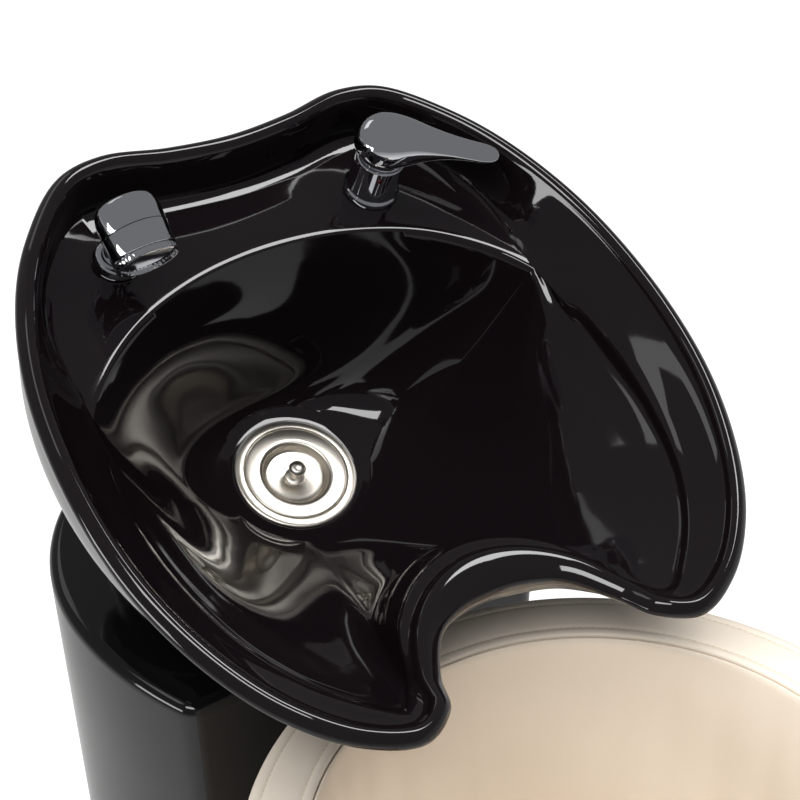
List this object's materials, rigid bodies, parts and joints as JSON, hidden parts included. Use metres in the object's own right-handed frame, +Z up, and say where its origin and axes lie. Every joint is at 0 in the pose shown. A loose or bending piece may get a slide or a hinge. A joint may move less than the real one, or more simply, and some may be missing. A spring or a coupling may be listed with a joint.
{
  "type": "backwash unit",
  "caption": "Salon backwash unit: a tilting glazed wash basin with lever mixer, pull-out hand spray and lift-out strainer on a pedestal, joined to an upholstered tub chair.",
  "frame": {"origin": "on the floor, straight below the centre of the basin's waste", "axes": "+Z up, -Y towards the client's chair, +X to the right of the hairdresser's view from the chair's front, on the mixer's side"},
  "size_m": [0.559, 1.0693, 1.0635],
  "materials": {
    "glaze": "gloss",
    "gelcoat": "gloss",
    "chrome": "polished",
    "stainless": "spun",
    "black_steel": "powder coated",
    "zinc_steel": "zinc plated",
    "brass": "turned",
    "rubber": "matt",
    "braided_hose": "braided",
    "grey_plastic": "moulded",
    "black_plastic": "moulded",
    "cream_leather": "soft grain",
    "plywood": "raw",
    "index_red": "gloss"
  },
  "bodies": {
    "base": {"arm_facing_left": "cream_leather", "arm_facing_right": "cream_leather", "base_board": "plywood", "bracket_bolt_left_back": "zinc_steel", "bracket_bolt_left_front": "zinc_steel", "bracket_bolt_right_back": "zinc_steel", "bracket_bolt_right_front": "zinc_steel", "cold_hose": "braided_hose", "cold_union": "brass", "door_screw_left": "zinc_steel", "door_screw_right": "zinc_steel", "floor_plate": "black_steel", "front_apron": "cream_leather", "hot_hose": "braided_hose", "hot_union": "brass", "inner_pad": "cream_leather", "outer_cover": "cream_leather", "pedestal_shell": "gelcoat", "pivot_pin_left": "zinc_steel", "pivot_pin_right": "zinc_steel", "plinth": "black_plastic", "post_left": "black_steel", "post_right": "black_steel", "rear_door": "gelcoat", "seat_cushion": "cream_leather", "seat_frame": "plywood", "tilt_bracket_left": "black_steel", "tilt_bracket_right": "black_steel", "tilt_stop_left": "rubber", "tilt_stop_right": "rubber", "top_band": "cream_leather", "top_plate": "black_steel", "tub_frame": "plywood", "waste_hose": "black_plastic", "waste_spigot": "black_plastic"},
    "basin": {"basin": "glaze", "waste_body": "stainless", "waste_gasket": "rubber", "waste_locknut": "black_plastic", "tail_nut": "black_plastic", "tilt_cradle": "black_steel", "mixer_body": "chrome", "mixer_cartridge": "grey_plastic", "mixer_nut": "brass", "cartridge_cap": "chrome", "index_button": "index_red", "spray_bush": "chrome", "spray_bush_nut": "brass", "spray_hose_lower": "braided_hose"},
    "rotor": {"cartridge_rotor": "grey_plastic"},
    "lever": {"mixer_lever": "chrome", "mixer_spindle": "brass"},
    "spray": {"spray_body": "chrome", "spray_front": "chrome", "spray_face": "chrome", "spray_hose_upper": "braided_hose"},
    "strainer": {"strainer_basket": "stainless", "strainer_knob": "stainless", "strainer_seal": "rubber"}
  },
  "joints": [
    {"name": "basin_tilt", "type": "hinge", "parent": "base", "child": "basin", "pos_m": [0, 0.02644, 0.69062], "axis": [-1, 0, 0], "range_deg": [0, 24], "deforming": ["waste_hose", "hot_hose", "cold_hose"]},
    {"name": "lever_turn", "type": "hinge", "parent": "basin", "child": "rotor", "pos_m": [0.116, 0.05549, 0.9794], "axis": [0, -0.4067, 0.9135], "range_deg": [-45, 45]},
    {"name": "lever_lift", "type": "hinge", "parent": "rotor", "child": "lever", "pos_m": [0.116, 0.03109, 1.03422], "axis": [-0.515, -0.7831, -0.3486], "range_deg": [0, 20]},
    {"name": "spray_pull", "type": "slide", "parent": "basin", "child": "spray", "axis": [0, -0.4067, 0.9135], "range_m": [0, 0.2], "deforming": ["spray_hose_lower"]},
    {"name": "strainer_lift", "type": "slide", "parent": "basin", "child": "strainer", "axis": [0, -0.4067, 0.9135], "range_m": [0, 0.06]}
  ]
}
